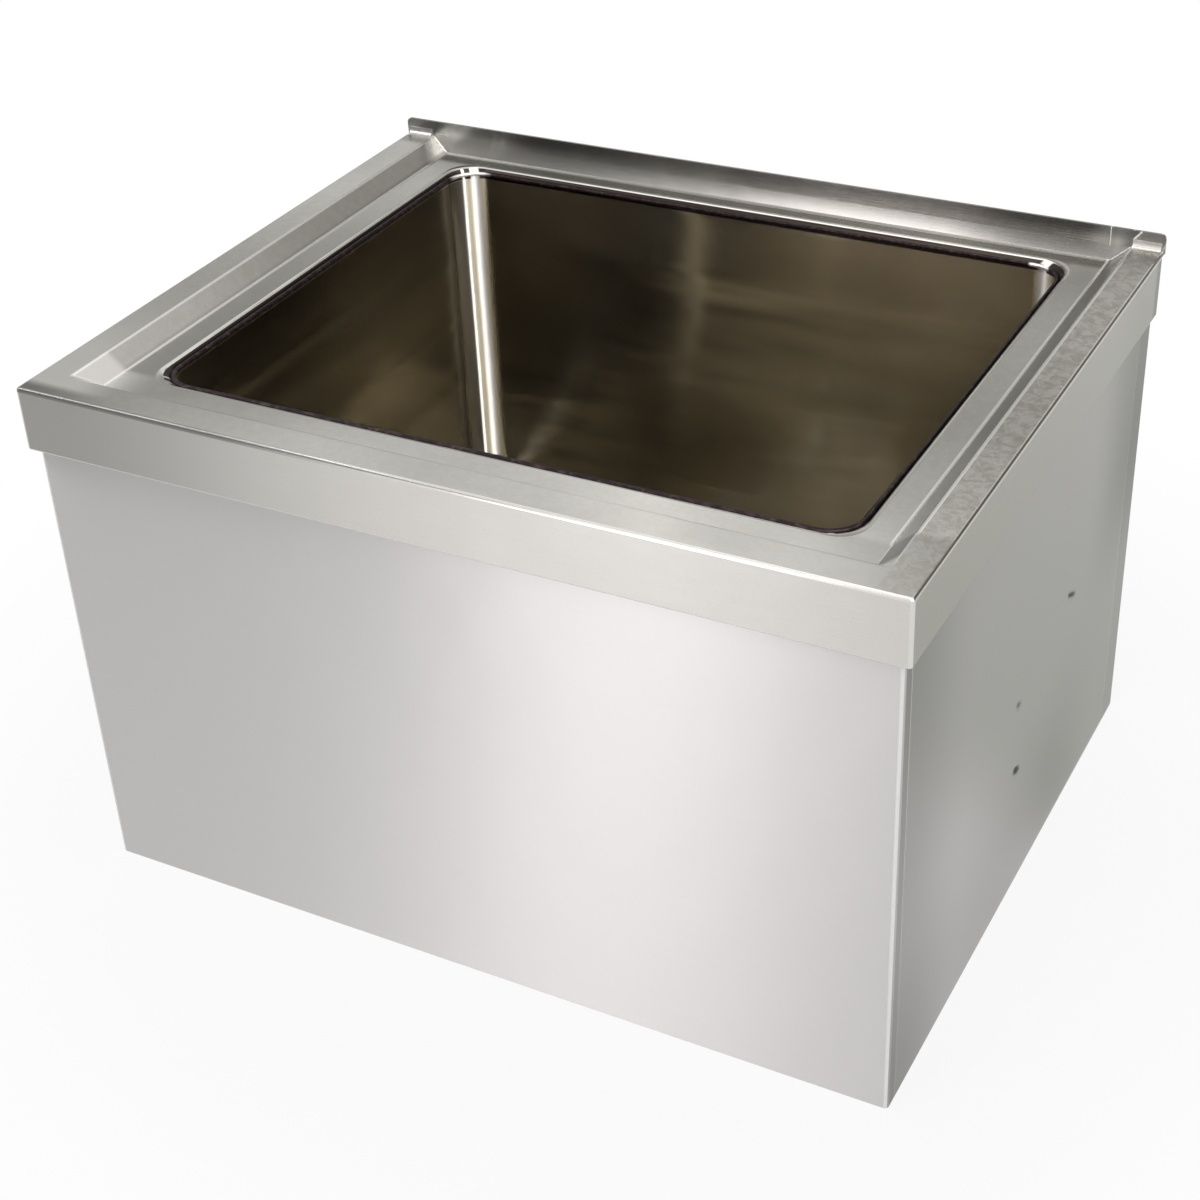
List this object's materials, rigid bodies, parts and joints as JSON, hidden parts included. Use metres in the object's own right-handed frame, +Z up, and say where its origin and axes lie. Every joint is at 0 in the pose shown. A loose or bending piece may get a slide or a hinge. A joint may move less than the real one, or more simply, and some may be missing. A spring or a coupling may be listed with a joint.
{
  "type": "mop service sink",
  "caption": "Floor-standing stainless steel mop sink: raised-rim deck with a rear tile lip, deep rectangular bowl, skirted base and a floor drain with a lift-out strainer.",
  "frame": {"origin": "on the floor, at the middle of the sink's outline", "axes": "+Z up, -Y towards the front, +Y towards the wall, +X to the right seen from the front"},
  "size_m": [0.635, 0.4974, 0.4127],
  "materials": {
    "deck_steel": "satin, lightly scratched",
    "skirt_steel": "fine satin",
    "bowl_steel": "smooth, darkly reflecting",
    "plain_steel": "mill finish",
    "polished_steel": "polished",
    "nut_brass": "rough cast",
    "black_rubber": "matt",
    "fibre_board": "pressed fibre",
    "damping_sheet": "pebbled"
  },
  "bodies": {
    "sink": {"deck": "deck_steel", "bowl": "bowl_steel", "skirt_front": "skirt_steel", "skirt_rear": "skirt_steel", "skirt_left": "skirt_steel", "skirt_right": "skirt_steel", "corner_post_front_left": "plain_steel", "corner_post_front_right": "plain_steel", "corner_post_rear_left": "plain_steel", "corner_post_rear_right": "plain_steel", "side_stiffener_left": "plain_steel", "side_stiffener_right": "plain_steel", "support_channel_front": "plain_steel", "support_channel_rear": "plain_steel", "support_pad_front": "black_rubber", "support_pad_rear": "black_rubber", "sound_pad_front": "damping_sheet", "sound_pad_rear": "damping_sheet", "sound_pad_left": "damping_sheet", "sound_pad_right": "damping_sheet", "drain_body": "polished_steel", "drain_gasket": "black_rubber", "friction_washer": "fibre_board", "drain_locknut": "nut_brass", "outlet_seal": "black_rubber", "outlet_nut": "nut_brass"},
    "strainer": {"strainer_plate": "polished_steel"}
  },
  "joints": [
    {"name": "strainer_lift", "type": "slide", "parent": "sink", "child": "strainer", "axis": [0, 0, 1], "range_m": [0, 0.36]}
  ]
}
